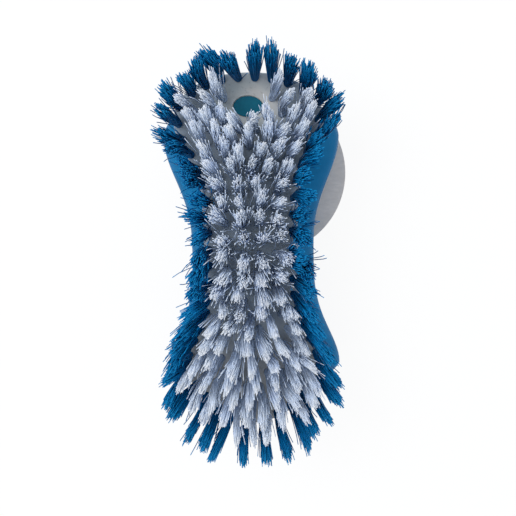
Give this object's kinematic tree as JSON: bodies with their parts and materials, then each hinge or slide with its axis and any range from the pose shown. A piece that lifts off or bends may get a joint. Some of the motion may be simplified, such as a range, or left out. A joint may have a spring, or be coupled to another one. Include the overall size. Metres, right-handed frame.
{
  "type": "hand scrub brush",
  "caption": "Hand scrub brush with a hollow waisted handle, a flat tuft block, white tufts ringed by a blue rim row, and a round card under the back.",
  "frame": {"origin": "on the surface that the brush lies on, under the middle of its waist", "axes": "+Z is the way the bristles point, +Y runs along the brush towards the lobe with the bare patch and the card, +X is across it"},
  "size_m": [0.0777, 0.1636, 0.0597],
  "materials": {
    "handle_blue": "moulded polypropylene, satin",
    "block_grey": "moulded pale grey plastic",
    "nylon_white": "crimped white filaments",
    "nylon_blue": "crimped blue filaments",
    "badge_teal": "plain printed oval",
    "card_grey": "coated card, bare"
  },
  "bodies": {
    "root": {"handle_shell": "handle_blue", "tuft_block": "block_grey", "white_tuft_row_01": "nylon_white", "white_tuft_row_02": "nylon_white", "white_tuft_row_03": "nylon_white", "white_tuft_row_04": "nylon_white", "white_tuft_row_05": "nylon_white", "white_tuft_row_06": "nylon_white", "white_tuft_row_07": "nylon_white", "white_tuft_row_08": "nylon_white", "white_tuft_row_09": "nylon_white", "white_tuft_row_10": "nylon_white", "white_tuft_row_11": "nylon_white", "white_tuft_row_12": "nylon_white", "white_tuft_row_13": "nylon_white", "white_tuft_row_14": "nylon_white", "white_tuft_row_15": "nylon_white", "white_tuft_row_16": "nylon_white", "white_tuft_row_17": "nylon_white", "white_tuft_row_18": "nylon_white", "white_tuft_row_19": "nylon_white", "white_tuft_row_20": "nylon_white", "blue_rim_tufts_01": "nylon_blue", "blue_rim_tufts_02": "nylon_blue", "blue_rim_tufts_03": "nylon_blue", "blue_rim_tufts_04": "nylon_blue", "blue_rim_tufts_05": "nylon_blue", "blue_rim_tufts_06": "nylon_blue", "blue_rim_tufts_07": "nylon_blue", "blue_rim_tufts_08": "nylon_blue", "blue_rim_tufts_09": "nylon_blue", "blue_rim_tufts_10": "nylon_blue", "blue_rim_tufts_11": "nylon_blue", "blue_rim_tufts_12": "nylon_blue", "blue_rim_tufts_13": "nylon_blue", "blue_rim_tufts_14": "nylon_blue", "blue_rim_tufts_15": "nylon_blue", "blue_rim_tufts_16": "nylon_blue", "blue_rim_tufts_17": "nylon_blue", "blue_rim_tufts_18": "nylon_blue", "oval_badge": "badge_teal", "label_card": "card_grey"}
  },
  "joints": []
}
